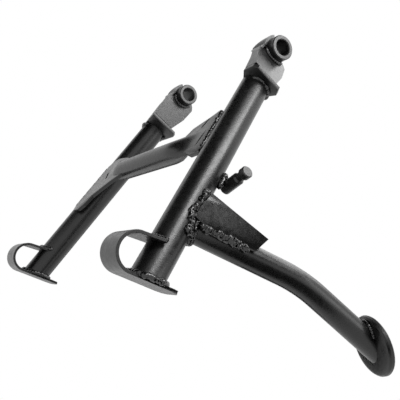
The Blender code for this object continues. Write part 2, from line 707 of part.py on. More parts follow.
edge = GUSSET_WIDTH / 2 + 0.9
leg_run = [gusset_point(3.2 + 8.5 * i / 12, 4.0 + 26.0 * i / 12, edge) for i in range(13)]
bead("weld_gusset_leg", leg_run, 6.0, [leg_grown[1], gusset_slab], radius=2.6)
lever_run = [gusset_point(24.0 + 42.0 * i / 20, -1.4, edge - 0.6) for i in range(21)]
bead("weld_gusset_lever", lever_run, 7.0, [lever_grown, gusset_slab], radius=2.5)

pad_run = []
for i in range(15):
    a = math.radians(-60 + 120 * i / 14)
    run = (LEVER_END - LEVER_KNEE).normalized()
    up = Vector((0, 0, 1))
    sideways = run.cross(up).normalized()
    up = sideways.cross(run)
    offset = sideways * math.sin(a * 1.4) * 12.0 + up * math.cos(a * 1.4) * 12.0
    start = LEVER_KNEE + offset
    normal = (LAYOUT.inverted() @ PAD_FRAME).to_3x3().col[2].normalized()
    dist = (PAD_CENTRE - normal * 0.9 - start).dot(normal) / run.dot(normal)
    pad_run.append(start + run * dist)
bead("weld_pad", pad_run, 8.0, [lever_grown, behind_pad], radius=2.4)

peg_run = []
for i in range(11):
    z = 98.0 + 16.0 * i / 10
    peg_run.append((leg_x(z) + 9.5, 12.6, z))
bead("weld_peg", peg_run, 9.0, [leg_grown[1], peg_grown], radius=3.4)

for spare in list(CUTTERS.objects):
    as_cutter(spare)
    if not any(m.type == "BOOLEAN" and m.object == spare for o in bpy.data.objects for m in o.modifiers):
        bpy.data.objects.remove(spare, do_unlink=True)

# The origin goes to the middle of the box's underside
bpy.context.view_layer.update()
graph = bpy.context.evaluated_depsgraph_get()
corners = []
for obj in PARTS.objects:
    shape = obj.evaluated_get(graph)
    corners += [obj.matrix_world @ v.co for v in shape.data.vertices]
low = Vector(min(c[i] for c in corners) for i in range(3))
high = Vector(max(c[i] for c in corners) for i in range(3))
shift = Vector(((low.x + high.x) / 2, (low.y + high.y) / 2, low.z))
for obj in bpy.data.objects:
    obj.location -= shift
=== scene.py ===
# %% [markdown]
# A motorcycle centre stand, dressed for a studio picture.
#
# The real stand is a welded steel frame in black powder coat: two splayed legs, a cross tube, two pivot
# brackets and a foot lever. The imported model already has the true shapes. This script gives it the finish,
# the rippled weld beads, the light and the camera. Everything is in metres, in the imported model's own frame.

# %% Load the frame
import json
import math

import bmesh
import bpy
from mathutils import Matrix, Vector

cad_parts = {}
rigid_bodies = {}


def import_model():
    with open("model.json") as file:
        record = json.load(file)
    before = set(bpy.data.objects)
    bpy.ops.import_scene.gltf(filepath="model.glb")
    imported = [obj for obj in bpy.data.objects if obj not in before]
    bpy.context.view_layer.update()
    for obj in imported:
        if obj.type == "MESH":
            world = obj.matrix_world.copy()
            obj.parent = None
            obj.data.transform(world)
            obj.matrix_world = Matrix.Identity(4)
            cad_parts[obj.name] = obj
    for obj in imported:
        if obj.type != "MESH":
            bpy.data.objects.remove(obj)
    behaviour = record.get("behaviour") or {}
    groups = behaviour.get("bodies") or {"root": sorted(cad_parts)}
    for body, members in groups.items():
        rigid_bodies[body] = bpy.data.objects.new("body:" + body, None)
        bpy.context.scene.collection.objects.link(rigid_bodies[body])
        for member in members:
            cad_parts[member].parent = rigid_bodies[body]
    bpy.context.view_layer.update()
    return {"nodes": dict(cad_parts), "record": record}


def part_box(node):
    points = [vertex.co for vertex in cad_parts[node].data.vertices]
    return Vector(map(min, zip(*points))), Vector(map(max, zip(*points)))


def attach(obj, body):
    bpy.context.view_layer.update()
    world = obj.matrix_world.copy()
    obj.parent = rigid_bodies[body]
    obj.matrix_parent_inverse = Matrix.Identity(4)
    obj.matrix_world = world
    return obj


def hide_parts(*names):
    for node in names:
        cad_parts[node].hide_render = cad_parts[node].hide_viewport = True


for leftover in list(bpy.data.objects):
    bpy.data.objects.remove(leftover, do_unlink=True)

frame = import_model()

# %% [markdown]
# The legs lean back, so the maker lays the frame out upright and tips it afterwards. The same layout space
# is used here: X across the stand, Y to the rear, Z up the legs, in millimetres. Its place comes from the
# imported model: the pivot bush gives the axis it turns on, and the two feet give the middle plane.

# %% Layout space
MM = 0.001
LEAN = math.radians(15.5)
PIVOT_Y = -2.3
PIVOT_Z = 272.6
FOOT_AHEAD = 0.0706


def node_middle(node):
    """The middle of a node's box."""
    low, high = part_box(node)
    return (low + high) / 2


middle_x = (node_middle("foot_strap_left").x + node_middle("foot_strap_right").x) / 2
pivot = node_middle("pivot_bush_left")
AXIS = Vector((middle_x, pivot.y, pivot.z))
LAYOUT = (Matrix.Translation(AXIS) @ Matrix.Scale(MM, 4) @ Matrix.Rotation(-LEAN, 4, "X")
          @ Matrix.Translation((0.0, -PIVOT_Y, -PIVOT_Z)))
FLOOR = Matrix.Translation((middle_x, AXIS.y - FOOT_AHEAD, 0.0)) @ Matrix.Scale(MM, 4)
print("pivot axis through", tuple(round(c, 4) for c in AXIS))

# %% [markdown]
# The finish is satin black powder coat. Powder melts into a skin that is never quite flat, which is called
# orange peel: soft dimples about a millimetre across. Two noises make it, one for the dimples and one for a
# slow change in gloss from place to place. A third, very faint, lifts the black where the coat is thinner.

# %% Powder coat material
PATCH_SCALE = 38.0
GLOSS_SCALE = 260.0


def wire(tree, from_socket, to_socket):
    """Join two sockets."""
    tree.links.new(from_socket, to_socket)


def noise(tree, coords, scale, detail, place):
    """A noise value over the piece's own coordinates."""
    node = tree.nodes.new("ShaderNodeTexNoise")
    node.inputs["Scale"].default_value = scale
    node.inputs["Detail"].default_value = detail
    node.location = place
    wire(tree, coords, node.inputs["Vector"])
    return node.outputs["Fac"]


def ranged(tree, value, low, high, place):
    """A noise value spread between two levels."""
    node = tree.nodes.new("ShaderNodeMapRange")
    node.inputs["From Min"].default_value = 0.3
    node.inputs["From Max"].default_value = 0.7
    node.inputs["To Min"].default_value = low
    node.inputs["To Max"].default_value = high
    node.location = place
    wire(tree, value, node.inputs["Value"])
    return node.outputs["Result"]


def powder_coat(name, black, gloss, peel_scale, peel_depth, sheen):
    """Black powder coat: black is a pair of levels, gloss a pair of roughness levels."""
    made = bpy.data.materials.new(name)
    made.use_nodes = True
    tree = made.node_tree
    shader = tree.nodes["Principled BSDF"]
    shader.inputs["Specular IOR Level"].default_value = sheen
    coords = tree.nodes.new("ShaderNodeTexCoord").outputs["Object"]
    patch = noise(tree, coords, PATCH_SCALE, 3.0, (-900, 300))
    thin = ranged(tree, patch, black[0], black[1], (-600, 400))
    colour = tree.nodes.new("ShaderNodeCombineColor")
    for channel in ("Red", "Green", "Blue"):
        wire(tree, thin, colour.inputs[channel])
    wire(tree, colour.outputs["Color"], shader.inputs["Base Color"])
    fine = noise(tree, coords, GLOSS_SCALE, 2.0, (-900, 0))
    wire(tree, ranged(tree, fine, gloss[0], gloss[1], (-600, 100)), shader.inputs["Roughness"])
    peel = noise(tree, coords, peel_scale, 1.5, (-900, -300))
    bump = tree.nodes.new("ShaderNodeBump")
    bump.inputs["Strength"].default_value = 1.0
    bump.inputs["Distance"].default_value = peel_depth
    wire(tree, peel, bump.inputs["Height"])
    wire(tree, bump.outputs["Normal"], shader.inputs["Normal"])
    return made


TUBE_COAT = powder_coat("tube_coat", (0.005, 0.010), (0.25, 0.34), 820.0, 0.00007, 0.5)
PLATE_COAT = powder_coat("plate_coat", (0.006, 0.012), (0.27, 0.37), 900.0, 0.00010, 0.5)
# The bushes and peg have the same paint as the rest. Their lighter black is painted light, standing in for the
# reflection on their turned faces.
LIGHTENED_TURNED_COAT = powder_coat("turned_coat_painted_light", (0.010, 0.018), (0.28, 0.36), 760.0, 0.00004, 0.5)
# The beads have the same paint as the rest. Their darker black is painted shade for the deep black between
# their glints. Their coat is also glossier and reflects more.
SHADED_BEAD_COAT = powder_coat("bead_coat_painted_shade", (0.003, 0.006), (0.07, 0.13), 420.0, 0.00007, 0.7)
FOLDED_COAT = powder_coat("folded_coat", (0.005, 0.009), (0.11, 0.18), 900.0, 0.00005, 0.5)
print("finishes", len(bpy.data.materials))

# %% [markdown]
# Sheet and tube have small rounded corners, and those corners are what catches the light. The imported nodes
# are loose triangles, so a short Geometry Nodes tree first joins them and marks only the steep edges as
# sharp. A Bevel modifier then rounds those by a few tenths of a millimetre. Modifiers leave the mesh alone.

# %% Join the triangles and shade them smooth
MERGE = 0.00001
SHARP_ANGLE = math.radians(25.0)
CORNER_ANGLE = math.radians(50.0)


def geometry_tree(name, sockets):
    """A tree with a geometry in and out and the named inputs between them."""
    tree = bpy.data.node_groups.new(name, "GeometryNodeTree")
    tree.interface.new_socket("Geometry", in_out="INPUT", socket_type="NodeSocketGeometry")
    ids = {}
    for label, kind, value in sockets:
        socket = tree.interface.new_socket(label, in_out="INPUT", socket_type=kind)
        if value is not None:
            socket.default_value = value
        ids[label] = socket.identifier
    tree.interface.new_socket("Geometry", in_out="OUTPUT", socket_type="NodeSocketGeometry")
    return tree, tree.nodes.new("NodeGroupInput"), tree.nodes.new("NodeGroupOutput"), ids


def smooth_tree():
    """Joins loose triangles and marks the steep edges as sharp."""
    tree, start, end, _ = geometry_tree("join_and_smooth", [
        ("Merge", "NodeSocketFloat", MERGE), ("Sharp Angle", "NodeSocketFloat", SHARP_ANGLE)])
    drop = tree.nodes.new("GeometryNodeRemoveAttribute")
    drop.inputs["Name"].default_value = "custom_normal"
    merge = tree.nodes.new("GeometryNodeMergeByDistance")
    faces = tree.nodes.new("GeometryNodeSetShadeSmooth")
    edges = tree.nodes.new("GeometryNodeSetShadeSmooth")
    edges.domain = "EDGE"
    edges.inputs["Shade Smooth"].default_value = False
    angle = tree.nodes.new("GeometryNodeInputMeshEdgeAngle")
    steep = tree.nodes.new("FunctionNodeCompare")
    steep.operation = "GREATER_THAN"
    wire(tree, start.outputs["Geometry"], drop.inputs["Geometry"])
    wire(tree, drop.outputs["Geometry"], merge.inputs["Geometry"])
    wire(tree, start.outputs["Merge"], merge.inputs["Distance"])
    wire(tree, merge.outputs["Geometry"], faces.inputs["Geometry"])
    wire(tree, faces.outputs["Geometry"], edges.inputs["Geometry"])
    wire(tree, angle.outputs["Unsigned Angle"], steep.inputs["A"])
    wire(tree, start.outputs["Sharp Angle"], steep.inputs["B"])
    wire(tree, steep.outputs["Result"], edges.inputs["Selection"])
    wire(tree, edges.outputs["Geometry"], end.inputs["Geometry"])
    return tree


SMOOTH = smooth_tree()


def round_corners(obj, width):
    """A small bevel on every steep edge."""
    rounding = obj.modifiers.new("rounded_corner", "BEVEL")
    rounding.width = width
    rounding.segments = 2
    rounding.limit_method = "ANGLE"
    rounding.angle_limit = CORNER_ANGLE
    rounding.harden_normals = True


# %% Which finish and corner each kind of node has
FINISHES = {
    "leg_tube": (TUBE_COAT, 0.0),
    "cross_tube": (TUBE_COAT, 0.0),
    "lever_tube": (TUBE_COAT, 0.0),
    "gusset_channel": (FOLDED_COAT, 0.0005),
    "pivot_base": (PLATE_COAT, 0.0),
    "cheek": (PLATE_COAT, 0.0004),
    "foot_strap": (PLATE_COAT, 0.0005),
    "foot_pad": (PLATE_COAT, 0.0),
    "pivot_bush": (LIGHTENED_TURNED_COAT, 0.0),
    "spring_peg": (LIGHTENED_TURNED_COAT, 0.0),
}


def dress_node(name, obj):
    """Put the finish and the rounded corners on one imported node."""
    for kind, (coat, corner) in FINISHES.items():
        if not name.startswith(kind):
            continue
        for slot in obj.material_slots:
            slot.material = coat
        smooth = obj.modifiers.new("join_and_smooth", "NODES")
        smooth.node_group = SMOOTH
        if corner:
            round_corners(obj, corner)
        return True
    return False


dressed = [name for name, obj in frame["nodes"].items() if dress_node(name, obj)]
print("dressed nodes", len(dressed))

# %% [markdown]
# A weld bead is a row of small puddles, each frozen a little over the last, so it shows a ripple every
# couple of millimetres, curved like a fish scale. One Geometry Nodes tree makes every bead: it smooths a
# path, sweeps a circle along it, and pushes the skin in and out with the distance along the path. The
# distance is shifted round the circle, which bends each ripple into a scale.

# %% The ripple bead tree
BEAD_STEP = 0.00042
BEAD_RING_POINTS = 16
LUMP_SCALE = 210.0
CREST_MEAN = 0.6


def ripple_tree():
    """Sweeps a path into a rippled bead."""
    tree, start, end, ids = geometry_tree("ripple_bead", [
        ("Radius", "NodeSocketFloat", 0.0025), ("Pitch", "NodeSocketFloat", 0.0026),
        ("Ripple", "NodeSocketFloat", 0.2), ("Scale Bend", "NodeSocketFloat", 0.45),
        ("Lumps", "NodeSocketFloat", 0.35), ("End Size", "NodeSocketFloat", 0.4),
        ("Seed", "NodeSocketFloat", 0.0), ("Finish", "NodeSocketMaterial", None)])

    def calc(operation, a, b=None, c=None):
        node = tree.nodes.new("ShaderNodeMath")
        node.operation = operation
        for slot, value in enumerate((a, b, c)):
            if value is None:
                continue
            if isinstance(value, (int, float)):
                node.inputs[slot].default_value = value
            else:
                wire(tree, value, node.inputs[slot])
        return node.outputs[0]

    path = tree.nodes.new("GeometryNodeMeshToCurve")
    soft = tree.nodes.new("GeometryNodeCurveSplineType")
    soft.spline_type = "CATMULL_ROM"
    even = tree.nodes.new("GeometryNodeResampleCurve")
    even.mode = "LENGTH"
    even.inputs["Length"].default_value = BEAD_STEP
    wire(tree, start.outputs["Geometry"], path.inputs["Mesh"])
    wire(tree, path.outputs["Curve"], soft.inputs["Curve"])
    wire(tree, soft.outputs["Curve"], even.inputs["Curve"])

    place = tree.nodes.new("GeometryNodeSplineParameter")
    whole = tree.nodes.new("GeometryNodeSplineLength")
    left = calc("SUBTRACT", whole.outputs["Length"], place.outputs["Length"])
    near_end = calc("MINIMUM", place.outputs["Length"], left)
    grown = calc("MINIMUM", calc("DIVIDE", near_end, start.outputs["Radius"]), 1.0)
    rest = calc("SUBTRACT", 1.0, start.outputs["End Size"])
    width = calc("ADD", start.outputs["End Size"], calc("MULTIPLY", rest, calc("POWER", grown, 0.5)))
    sized = tree.nodes.new("GeometryNodeSetCurveRadius")
    wire(tree, even.outputs["Curve"], sized.inputs["Curve"])
    wire(tree, width, sized.inputs["Radius"])

    along = tree.nodes.new("GeometryNodeCaptureAttribute")
    along.capture_items.new("FLOAT", "along")
    wire(tree, sized.outputs["Curve"], along.inputs["Geometry"])
    wire(tree, place.outputs["Length"], along.inputs["along"])
    ring = tree.nodes.new("GeometryNodeCurvePrimitiveCircle")
    ring.inputs["Resolution"].default_value = BEAD_RING_POINTS
    wire(tree, start.outputs["Radius"], ring.inputs["Radius"])
    turn = tree.nodes.new("GeometryNodeSplineParameter")
    around = tree.nodes.new("GeometryNodeCaptureAttribute")
    around.capture_items.new("FLOAT", "around")
    wire(tree, ring.outputs["Curve"], around.inputs["Geometry"])
    wire(tree, turn.outputs["Factor"], around.inputs["around"])

    skin = tree.nodes.new("GeometryNodeCurveToMesh")
    skin.inputs["Fill Caps"].default_value = True
    wire(tree, along.outputs["Geometry"], skin.inputs["Curve"])
    wire(tree, around.outputs["Geometry"], skin.inputs["Profile Curve"])
    if "Scale" in skin.inputs:
        radius = tree.nodes.new("GeometryNodeInputRadius")
        wire(tree, radius.outputs["Radius"], skin.inputs["Scale"])

    bend = calc("MULTIPLY", calc("COSINE", calc("MULTIPLY", around.outputs["around"], 4 * math.pi)),
                start.outputs["Scale Bend"])
    step = calc("ADD", calc("DIVIDE", along.outputs["along"], start.outputs["Pitch"]), bend)
    crest = calc("ABSOLUTE", calc("SINE", calc("MULTIPLY", step, math.pi)))
    wave = calc("SUBTRACT", crest, CREST_MEAN)
    lumps = tree.nodes.new("ShaderNodeTexNoise")
    lumps.noise_dimensions = "4D"
    lumps.inputs["Scale"].default_value = LUMP_SCALE
    lumps.inputs["Detail"].default_value = 1.0
    wire(tree, start.outputs["Seed"], lumps.inputs["W"])
    uneven = calc("MULTIPLY", calc("SUBTRACT", lumps.outputs[0], 0.5), start.outputs["Lumps"])
    push = calc("ADD", calc("MULTIPLY", wave, start.outputs["Ripple"]), calc("MULTIPLY", uneven, 2.0))
    depth = calc("MULTIPLY", push, start.outputs["Radius"])
    normal = tree.nodes.new("GeometryNodeInputNormal")
    offset = tree.nodes.new("ShaderNodeVectorMath")
    offset.operation = "SCALE"
    wire(tree, normal.outputs["Normal"], offset.inputs[0])
    wire(tree, depth, offset.inputs["Scale"])
    moved = tree.nodes.new("GeometryNodeSetPosition")
    wire(tree, skin.outputs["Mesh"], moved.inputs["Geometry"])
    wire(tree, offset.outputs["Vector"], moved.inputs["Offset"])

    smooth = tree.nodes.new("GeometryNodeSetShadeSmooth")
    real = tree.nodes.new("GeometryNodeRealizeInstances")
    coat = tree.nodes.new("GeometryNodeSetMaterial")
    wire(tree, moved.outputs["Geometry"], smooth.inputs["Geometry"])
    wire(tree, smooth.outputs["Geometry"], real.inputs["Geometry"])
    wire(tree, real.outputs["Geometry"], coat.inputs["Geometry"])
    wire(tree, start.outputs["Finish"], coat.inputs["Material"])
    wire(tree, coat.outputs["Geometry"], end.inputs["Geometry"])
    return tree, ids


RIPPLE, RIPPLE_IDS = ripple_tree()


def finish_piece(name, mesh, coat, node, corner):
    """A solid piece in a node's place, smooth shaded, with its corners rounded if corner isn't nothing."""
    obj = bpy.data.objects.new(name, mesh)
    bpy.context.scene.collection.objects.link(obj)
    mesh.materials.clear()
    mesh.materials.append(coat)
    mesh.shade_smooth()
    mesh.set_sharp_from_angle(angle=SHARP_ANGLE)
    if corner:
        round_corners(obj, corner)
    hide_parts(node)
    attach(obj, "root")
    print(name, "faces", len(mesh.polygons))
    return obj


def path_mesh(name, points, space, closed):
    """A chain of edges through points given in millimetres."""
    mesh = bpy.data.meshes.new(name)
    edges = [(i, i + 1) for i in range(len(points) - 1)]
    if closed:
        edges.append((len(points) - 1, 0))
    mesh.from_pydata([space @ Vector(p) for p in points], edges, [])
    return mesh


def ripple_bead(place, points, radius, seed, closed=False, space=LAYOUT, lumps=0.45):
    """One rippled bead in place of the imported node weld_<place>."""
    obj = bpy.data.objects.new("bead_" + place, path_mesh("bead_" + place, points, space, closed))
    bpy.context.scene.collection.objects.link(obj)
    made = obj.modifiers.new("ripple", "NODES")
    made.node_group = RIPPLE
    made[RIPPLE_IDS["Radius"]] = radius * MM
    made[RIPPLE_IDS["Seed"]] = float(seed)
    made[RIPPLE_IDS["Lumps"]] = lumps
    made[RIPPLE_IDS["End Size"]] = 0.8 if closed else 0.4
    made[RIPPLE_IDS["Finish"]] = SHADED_BEAD_COAT
    graph = bpy.context.evaluated_depsgraph_get()
    final = bpy.data.meshes.new_from_object(obj.evaluated_get(graph))
    obj.modifiers.clear()
    obj.data = final
    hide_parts("weld_" + place)
    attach(obj, "root")
    print("bead", place, "faces", len(final.polygons))
    return obj


# %% [markdown]
# Every bead runs where two pieces of steel meet. Most are arcs: round a leg tube, or part of the way round
# a bush. The paths below come from the stand's own sizes, in layout millimetres.

# %% Sizes of the steel
LEG_FOOT_X = 145.8
LEG_SPLAY = 0.18
LEG_R = 14.0
LEVER_R = 11.0
BASE_Z = 221.5
CHEEK_TOP_Z = 262.0
BUSH_R = 12.5
OUTER_X_LOW = {1: 127.5, -1: 122.0}
OUTER_X_TOP = {1: 105.5, -1: 97.0}
INNER_X = {1: 84.0, -1: 77.0}
STRAP_T = 4.0
STRAP_ARM_Z = 34.6
STRAP_X = 144.0
SIDES = ((1, "left"), (-1, "right"))


def leg_x(z):
    """How far the leg's axis is from the middle plane at layout height z."""
    return LEG_FOOT_X - LEG_SPLAY * z


def arc(x, y, rx, ry, start, stop, count):
    """Points round an ellipse, angles in degrees."""
    out = []
    for i in range(count + 1):
        a = math.radians(start + (stop - start) * i / count)
        out.append((x + rx * math.cos(a), y + ry * math.sin(a)))
    return out


def leg_on_floor(side, z):
    """Where the leg's axis is, in ground millimetres, at layout height z."""
    return FLOOR.inverted() @ (LAYOUT @ Vector((side * leg_x(z), 0.0, z)))


# %% Beads at the legs' tops and feet
TOP_ARC = {1: (-50, 190), -1: (60, 300)}
for side, word in SIDES:
    first, last = TOP_ARC[side]
    ring = arc(side * leg_x(BASE_Z), 0.0, LEG_R + 0.3, LEG_R + 0.3, first, last, 30)
    ripple_bead("leg_top_" + word, [(x, y, BASE_Z - 1.2) for x, y in ring], 2.1, 3 * side, lumps=0.9)
    foot = leg_on_floor(side, -3.0)
    ring = arc(foot.x, foot.y, LEG_R + 0.8, LEG_R + 1.1, 0, 350, 35)
    ripple_bead("foot_" + word, [(x, y, STRAP_T - 0.4) for x, y in ring], 2.5, 5 + side,
                closed=True, space=FLOOR, lumps=0.7)
    arm_z = (LAYOUT.inverted() @ (FLOOR @ Vector((side * STRAP_X, 0.0, STRAP_ARM_Z)))).z
    at = leg_on_floor(side, arm_z)
    ring = arc(at.x, at.y, LEG_R + 0.6, LEG_R + 0.9, 200, 340, 24)
    ripple_bead("arm_" + word, [(x, y, STRAP_ARM_Z + 0.6) for x, y in ring], 2.2, 8 + side, space=FLOOR)

# %% Beads where the bushes sit in the brackets
HOOKED_START = -146
PLAIN_START = {1: -125, -1: -158}
for side, word in SIDES:
    for face, sign in (("outer", 1), ("inner", -1)):
        hooked = sign == side
        first = HOOKED_START if hooked else PLAIN_START[side]
        points = []
        for y, z in arc(PIVOT_Y, PIVOT_Z, BUSH_R + 0.9, BUSH_R + 0.9, first, -22, 20):
            rise = (z - BASE_Z) / (CHEEK_TOP_Z - BASE_Z)
            outer_x = OUTER_X_LOW[side] + (OUTER_X_TOP[side] - OUTER_X_LOW[side]) * rise
            x = outer_x + 0.9 if sign > 0 else INNER_X[side] - 0.4
            points.append((side * x, y, z))
        ripple_bead("bush_" + face + "_" + word, points, 1.8, 11 + side + 3 * sign)

# %% Beads where the pressed tube ends lie on the legs
points = []
for i in range(25):
    z = 124.5 + 49.5 * i / 24
    low = (176.0 - z) / 54.0
    points.append((leg_x(z) - 7.0 - 1.4 * low, -13.2 + 0.6 * low, z))
ripple_bead("cross_left", points, 2.2, 21, lumps=0.8)
points = []
for i in range(28):
    z = 86.0 + 60.0 * i / 27
    points.append((-(129.0 - 12.0 * (z - 87.0) / 61.0) - 0.8, -14.0, z))
ripple_bead("cross_right", points, 1.6, 22, lumps=0.25)

# %% [markdown]
# Each foot is one strip of flat bar, bent round into a rocker that the stand rolls over when the motorcycle
# is lifted. The strip is a flat outline drawn from the side and pushed out to its width, with its toe corners
# rounded in plan.

# %% Foot straps
PLATE_CORNER = 0.0004
STRAP_WIDTH = 30.0
STRAP_THIN = 2.6
TOE_Y = 25.0
TOE_ROUND = 8.0
ROCKER_Y = -21.0
ROCKER_R = 16.5
ARM_Y = -1.0


def strap_outline():
    """The strip from the side: flat foot, rocker, arm back to the leg, then the inner face the other way."""
    inner = ROCKER_R - STRAP_THIN
    out = [(TOE_Y, 0.0), (TOE_Y - 2.7, 0.0), (TOE_Y - 8.0, 0.0)]
    out += arc(ROCKER_Y, ROCKER_R, ROCKER_R, ROCKER_R, 270, 90, 40)
    out += [(ARM_Y, STRAP_ARM_Z), (ARM_Y, STRAP_ARM_Z - STRAP_THIN)]
    out += arc(ROCKER_Y, ROCKER_R, inner, inner, 90, 270, 40)
    out += [(TOE_Y - 8.0, STRAP_THIN), (TOE_Y - 2.7, STRAP_THIN), (TOE_Y, STRAP_THIN)]
    return out


def toe_half_width(y):
    """Half the strip's width at y, narrower where the toe's corners are round."""
    past = max(0.0, y - (TOE_Y - TOE_ROUND))
    return STRAP_WIDTH / 2 - (TOE_ROUND - math.sqrt(max(0.0, TOE_ROUND ** 2 - past ** 2)))


def foot_strap(side, word):
    """The strip's side outline pushed out to its width."""
    bm = bmesh.new()
    outline = strap_outline()
    rings = []
    for edge_sign in (-1, 1):
        rings.append([bm.verts.new(FLOOR @ Vector((side * STRAP_X + edge_sign * toe_half_width(y), y, z)))
                      for y, z in outline])
    count = len(outline)
    for i in range(count):
        k = (i + 1) % count
        bm.faces.new((rings[0][i], rings[0][k], rings[1][k], rings[1][i]))
    for ring in rings:
        bm.faces.new(ring)
    bmesh.ops.recalc_face_normals(bm, faces=bm.faces)
    mesh = bpy.data.meshes.new("strap_" + word)
    bm.to_mesh(mesh)
    bm.free()
    return finish_piece("strap_" + word, mesh, PLATE_COAT, "foot_strap_" + word, PLATE_CORNER)


for side, word in SIDES:
    foot_strap(side, word)

# %% [markdown]
# The lever leaves the leg at an angle, so its bead is a saddle: a ring that rides up and down where one
# round tube runs into another. It is found by walking out along the lever until the leg's surface is left.
# The gusset's bead starts with a small loop on the leg, where the welder filled the corner.

# %% Lever, gusset, pad and peg beads
LEVER_ROOT = Vector((136.0, 10.0, 54.0))
LEVER_KNEE = Vector((158.5, 114.7, 76.4))
LEVER_END = Vector((170.9, 218.0, 73.0))
LEVER_DIR = (LEVER_KNEE - LEVER_ROOT).normalized()
LEG_UP = Vector((-LEG_SPLAY, 0.0, 1.0)).normalized()
GUSSET_WIDTH = 26.0


def saddle_point(angle, radius, reach):
    """A point round the lever where it comes out of the leg."""
    across = LEVER_DIR.orthogonal().normalized()
    up = LEVER_DIR.cross(across)
    offset = across * math.cos(angle) * radius + up * math.sin(angle) * radius
    base = Vector((leg_x(0.0), 0.0, 0.0))
    step = 4.0
    while step < 60.0:
        p = LEVER_ROOT + LEVER_DIR * (step - 10.0) + offset
        away = p - base
        if (away - LEG_UP * away.dot(LEG_UP)).length > reach:
            break
        step += 0.25
    return p


ring = [saddle_point(2 * math.pi * i / 32, LEVER_R + 0.8, LEG_R + 0.8) for i in range(32)]
ripple_bead("lever_root", ring, 3.2, 31, closed=True, lumps=1.2)

side_axis = LEVER_DIR.cross(LEG_UP).normalized()
rise_axis = side_axis.cross(LEVER_DIR)
corner = Vector((leg_x(52.0), 0.0, 52.0))


def gusset_point(out_along, up, sideways):
    """A point on the gusset, from the corner of leg and lever."""
    return corner + LEVER_DIR * out_along + rise_axis * up + side_axis * sideways


edge = GUSSET_WIDTH / 2 + 0.5
run = [gusset_point(3.2 + 8.5 * i / 16, 4.0 + 26.0 * i / 16, edge) for i in range(17)]
BLOB = Vector((150.9, 5.8, 46.6))
BLOB_RING_R = 2.9
LEG_OUTWARD = Vector((0.921, 0.390, 0.0))
leg_across = LEG_UP.cross(LEG_OUTWARD)
loop = []
for i in range(11):
    a = math.radians(30 + 31 * i)
    loop.append(BLOB + (LEG_UP * math.cos(a) + leg_across * math.sin(a)) * BLOB_RING_R)
ripple_bead("gusset_leg", loop + [Vector((150.6, 2.6, 53.6))] + run, 2.8, 32, lumps=1.1)
run = [gusset_point(15.0 + 45.0 * i / 24, -1.8, edge - 1.6) for i in range(25)]
ripple_bead("gusset_lever", run, 3.2, 33, lumps=1.1)

# %% [markdown]
# The lever is one tube with an easy bend. A circle is swept along two straight runs joined by an arc, and
# the far end is sliced off flat just behind the pad.

# %% Lever tube
LEVER_BEND_R = 160.0
PAD_CENTRE = Vector((169.5, 205.0, 71.43))
pad_mount = [m for m in frame["record"]["mounts"] if m["name"] == "pad_face"][0]
pad_normal = (LAYOUT.to_3x3().inverted() @ Vector(pad_mount["axis"])).normalized()


def lever_path():
    """The lever's middle line, with its bend as a row of short steps."""
    far_dir = (LEVER_END - LEVER_KNEE).normalized()
    turn = LEVER_DIR.angle(far_dir)
    reach = LEVER_BEND_R * math.tan(turn / 2)
    inward = (far_dir - LEVER_DIR * LEVER_DIR.dot(far_dir)).normalized()
    centre = LEVER_KNEE - LEVER_DIR * reach + inward * LEVER_BEND_R
    out = [LEVER_ROOT - LEVER_DIR * 4.0]
    for i in range(25):
        t = turn * i / 24
        out.append(centre - inward * LEVER_BEND_R * math.cos(t) + LEVER_DIR * LEVER_BEND_R * math.sin(t))
    return out + [LEVER_END]


def lever_tube():
    """The swept lever, sliced off behind the pad."""
    data = bpy.data.curves.new("lever", "CURVE")
    data.dimensions = "3D"
    data.bevel_depth = LEVER_R
    data.bevel_resolution = 10
    data.use_fill_caps = True
    path = lever_path()
    line = data.splines.new("POLY")
    line.points.add(len(path) - 1)
    for point, place in zip(line.points, path):
        point.co = (*place, 1.0)
    holder = bpy.data.objects.new("lever_curve", data)
    bpy.context.scene.collection.objects.link(holder)
    graph = bpy.context.evaluated_depsgraph_get()
    mesh = bpy.data.meshes.new_from_object(holder.evaluated_get(graph))
    bpy.data.objects.remove(holder, do_unlink=True)
    bm = bmesh.new()
    bm.from_mesh(mesh)
    bmesh.ops.remove_doubles(bm, verts=bm.verts, dist=0.001)
    behind = PAD_CENTRE - pad_normal * 0.1
    cut = bmesh.ops.bisect_plane(bm, geom=bm.verts[:] + bm.edges[:] + bm.faces[:], plane_co=behind,
                                 plane_no=pad_normal, clear_outer=True)
    bmesh.ops.holes_fill(bm, edges=[e for e in cut["geom_cut"] if isinstance(e, bmesh.types.BMEdge)])
    bmesh.ops.transform(bm, verts=bm.verts, matrix=LAYOUT)
    bmesh.ops.recalc_face_normals(bm, faces=bm.faces)
    bm.to_mesh(mesh)
    bm.free()
    return finish_piece("lever", mesh, TUBE_COAT, "lever_tube", 0.0)


lever_tube()

# %% Beads at the pad and the peg
end_run = (LEVER_END - LEVER_KNEE).normalized()
sideways = end_run.cross(Vector((0, 0, 1))).normalized()
upward = sideways.cross(end_run)
points = []
for i in range(21):
    a = math.radians(-60 + 120 * i / 20) * 1.4
    start = LEVER_KNEE + (sideways * math.sin(a) + upward * math.cos(a)) * 12.0
    reach = (PAD_CENTRE - pad_normal * 0.9 - start).dot(pad_normal) / end_run.dot(pad_normal)
    points.append(start + end_run * reach)
ripple_bead("pad", points, 1.6, 41, lumps=0.2)
points = []
for i in range(13):
    z = 98.0 + 16.0 * i / 12
    points.append((leg_x(z) + 9.5, 12.6, z))
ripple_bead("peg", points, 2.9, 42)

# %% [markdown]
# The floor is a plain pale sheet under the feet. The photograph looks slightly upwards from below foot
# level, so the sheet is clear from underneath and solid from above, and it fades out away from the stand.
# The world is white to the camera and in reflections, and dimmer as a light.

